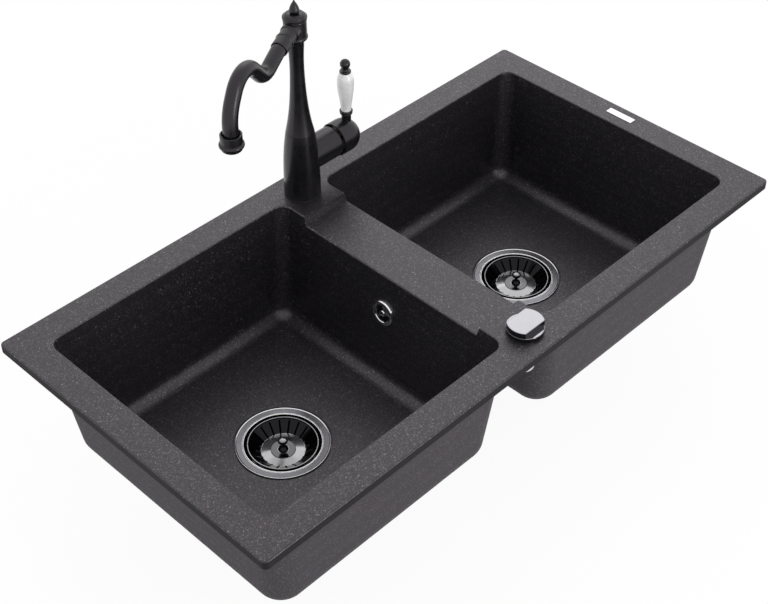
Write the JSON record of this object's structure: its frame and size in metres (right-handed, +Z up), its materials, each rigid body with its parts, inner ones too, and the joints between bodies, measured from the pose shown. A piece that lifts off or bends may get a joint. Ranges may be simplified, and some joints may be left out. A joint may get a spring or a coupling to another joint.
{
  "type": "double bowl kitchen sink",
  "caption": "Double bowl inset kitchen sink of dark granite composite with basket strainer wastes, pop-up control, overflow and a swan-neck mixer tap.",
  "frame": {"origin": "centre of the worktop cut-out at the worktop's surface, which is the underside of the rim", "axes": "+Z up out of the bowls, +X along the sink towards the plain right bowl, +Y towards the back, where the tap stands"},
  "size_m": [0.85, 0.44, 0.5278],
  "materials": {
    "granite": "matt anthracite granite composite (quartz filled acrylic) with fine pale flecks",
    "badge_steel": "brushed, bare",
    "polished_steel": "polished stainless steel",
    "black_rubber": "matt",
    "waste_plastic": "moulded polypropylene",
    "fixing_steel": "zinc plated or stainless",
    "chrome": "polished",
    "black_tap": "brass with a satin black coat",
    "inner_plastic": "acetal",
    "brass": "turned",
    "porcelain": "white glazed porcelain"
  },
  "bodies": {
    "sink": {"badge_plate": "badge_steel", "cartridge_body": "inner_plastic", "cartridge_nut": "brass", "knob_cable_box": "waste_plastic", "knob_cable_gland": "waste_plastic", "knob_housing": "chrome", "knob_nut": "fixing_steel", "knob_washer": "fixing_steel", "left_fixing_bolt": "fixing_steel", "left_flange_seal": "black_rubber", "left_pot_seal": "black_rubber", "left_waste_flange": "polished_steel", "left_waste_pot": "waste_plastic", "overflow_elbow": "waste_plastic", "overflow_pipe": "waste_plastic", "overflow_pipe_nuts": "waste_plastic", "overflow_rosette": "chrome", "overflow_screw": "fixing_steel", "overflow_seal": "black_rubber", "right_fixing_bolt": "fixing_steel", "right_flange_seal": "black_rubber", "right_pot_seal": "black_rubber", "right_waste_flange": "polished_steel", "right_waste_pot": "waste_plastic", "riser_screw": "fixing_steel", "sink_body": "granite", "swivel_bush": "inner_plastic", "tap_base_seal": "black_rubber", "tap_body": "black_tap", "tap_clamp_plate": "fixing_steel", "tap_clamp_rubber": "black_rubber", "tap_stud": "fixing_steel", "tap_stud_nut": "fixing_steel", "waste_cable_gland": "waste_plastic"},
    "spout": {"spout_riser": "black_tap", "head_cap": "black_tap", "head_finial": "black_tap", "spout_collar_nut": "black_tap", "spout_tube": "black_tap", "nozzle_sleeve": "black_tap", "aerator": "inner_plastic"},
    "lever_turn": {"cartridge_rotor": "brass", "rotor_pin": "fixing_steel"},
    "lever": {"lever_spindle": "brass", "lever_hub": "black_tap", "lever_rings": "black_tap", "lever_grip": "porcelain", "lever_tip": "black_tap"},
    "knob": {"control_knob": "chrome", "knob_spindle": "fixing_steel"},
    "crank": {"left_lift_crank": "fixing_steel"},
    "lift_pin": {"left_lift_pin": "fixing_steel"},
    "left_basket": {"left_basket": "polished_steel", "left_basket_grip": "polished_steel", "left_basket_foot": "waste_plastic", "left_basket_seal": "black_rubber"},
    "right_basket": {"right_basket": "polished_steel", "right_basket_grip": "polished_steel", "right_basket_foot": "waste_plastic", "right_basket_seal": "black_rubber"}
  },
  "joints": [
    {"name": "spout_swivel", "type": "hinge", "parent": "sink", "child": "spout", "pos_m": [0, 0.1809, 0.15], "axis": [0, 0, 1], "continuous": true},
    {"name": "lever_mix", "type": "hinge", "parent": "sink", "child": "lever_turn", "pos_m": [0.045, 0.1809, 0.061], "axis": [1, 0, 0], "range_deg": [-45, 45]},
    {"name": "lever_flow", "type": "hinge", "parent": "lever_turn", "child": "lever", "pos_m": [0.045, 0.1809, 0.061], "axis": [0, 1, 0], "range_deg": [0, 20]},
    {"name": "knob_turn", "type": "hinge", "parent": "sink", "child": "knob", "pos_m": [0, -0.182, 0.018], "axis": [0, 0, 1], "range_deg": [0, 90]},
    {"name": "crank_turn", "type": "hinge", "parent": "sink", "child": "crank", "pos_m": [-0.198, 0, -0.205], "axis": [0, 1, 0], "range_deg": [0, 39]},
    {"name": "pin_lift", "type": "slide", "parent": "sink", "child": "lift_pin", "axis": [0, 0, 1], "range_m": [0, 0.008]},
    {"name": "left_basket_lift", "type": "slide", "parent": "lift_pin", "child": "left_basket", "axis": [0, 0, 1], "range_m": [0, 0.06]},
    {"name": "right_basket_lift", "type": "slide", "parent": "sink", "child": "right_basket", "axis": [0, 0, 1], "range_m": [0, 0.06]}
  ],
  "couplings": [
    {"joint": "crank_turn", "follows": "knob_turn", "ratio": 0.43},
    {"joint": "pin_lift", "follows": "knob_turn", "m_per_rad": 0.005}
  ]
}
